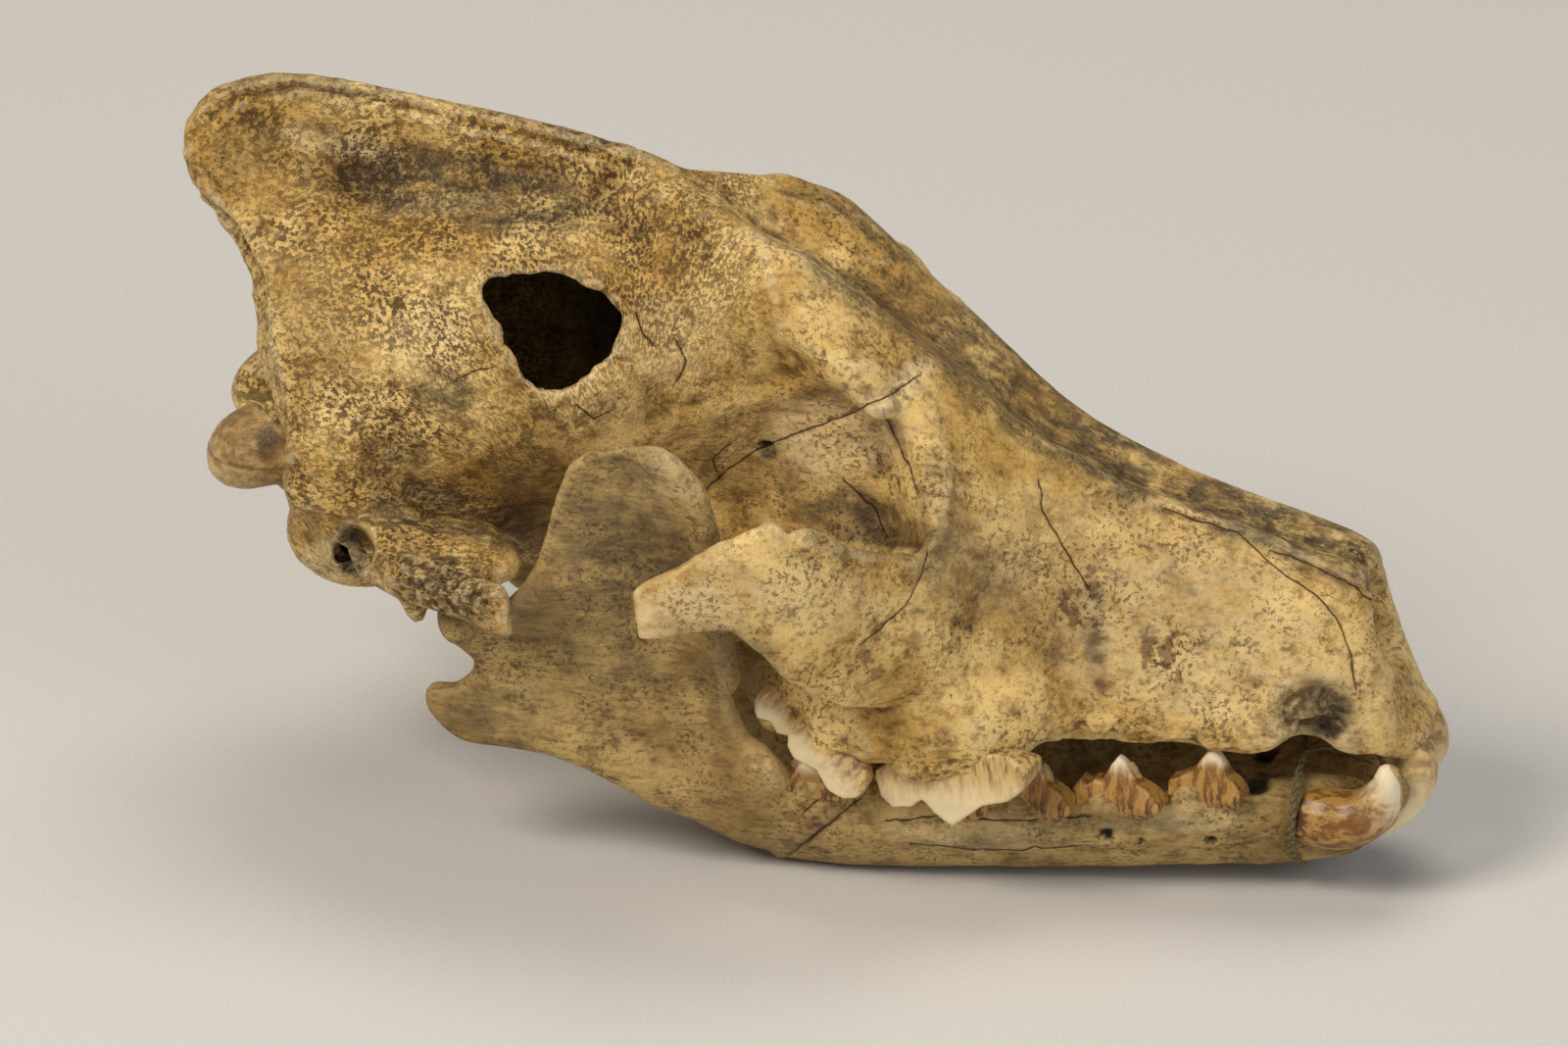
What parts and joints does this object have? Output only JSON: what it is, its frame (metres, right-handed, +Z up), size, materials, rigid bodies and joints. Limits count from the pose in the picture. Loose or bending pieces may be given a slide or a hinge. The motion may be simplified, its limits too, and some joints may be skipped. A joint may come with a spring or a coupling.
{
  "type": "wolf skull",
  "caption": "Life-size wolf skull with its lower jaw, one cheek arch broken and a hole in the braincase, resting on the lower edge of the jaw.",
  "frame": {"origin": "middle of the bounding box on the floor, under the skull", "axes": "+X to the nose, +Y to the animal's left, +Z up"},
  "size_m": [0.2452, 0.1366, 0.1441],
  "materials": {
    "cranium_bone": "dry old bone, yellow-ochre with brown and grey stains",
    "mandible_bone": "dry old bone, tan to grey-brown",
    "twine": "dark olive twisted twine"
  },
  "bodies": {
    "root": {"cranium": "cranium_bone", "mandible_right": "mandible_bone", "mandible_left": "mandible_bone", "jaw_tie": "twine"}
  },
  "joints": []
}
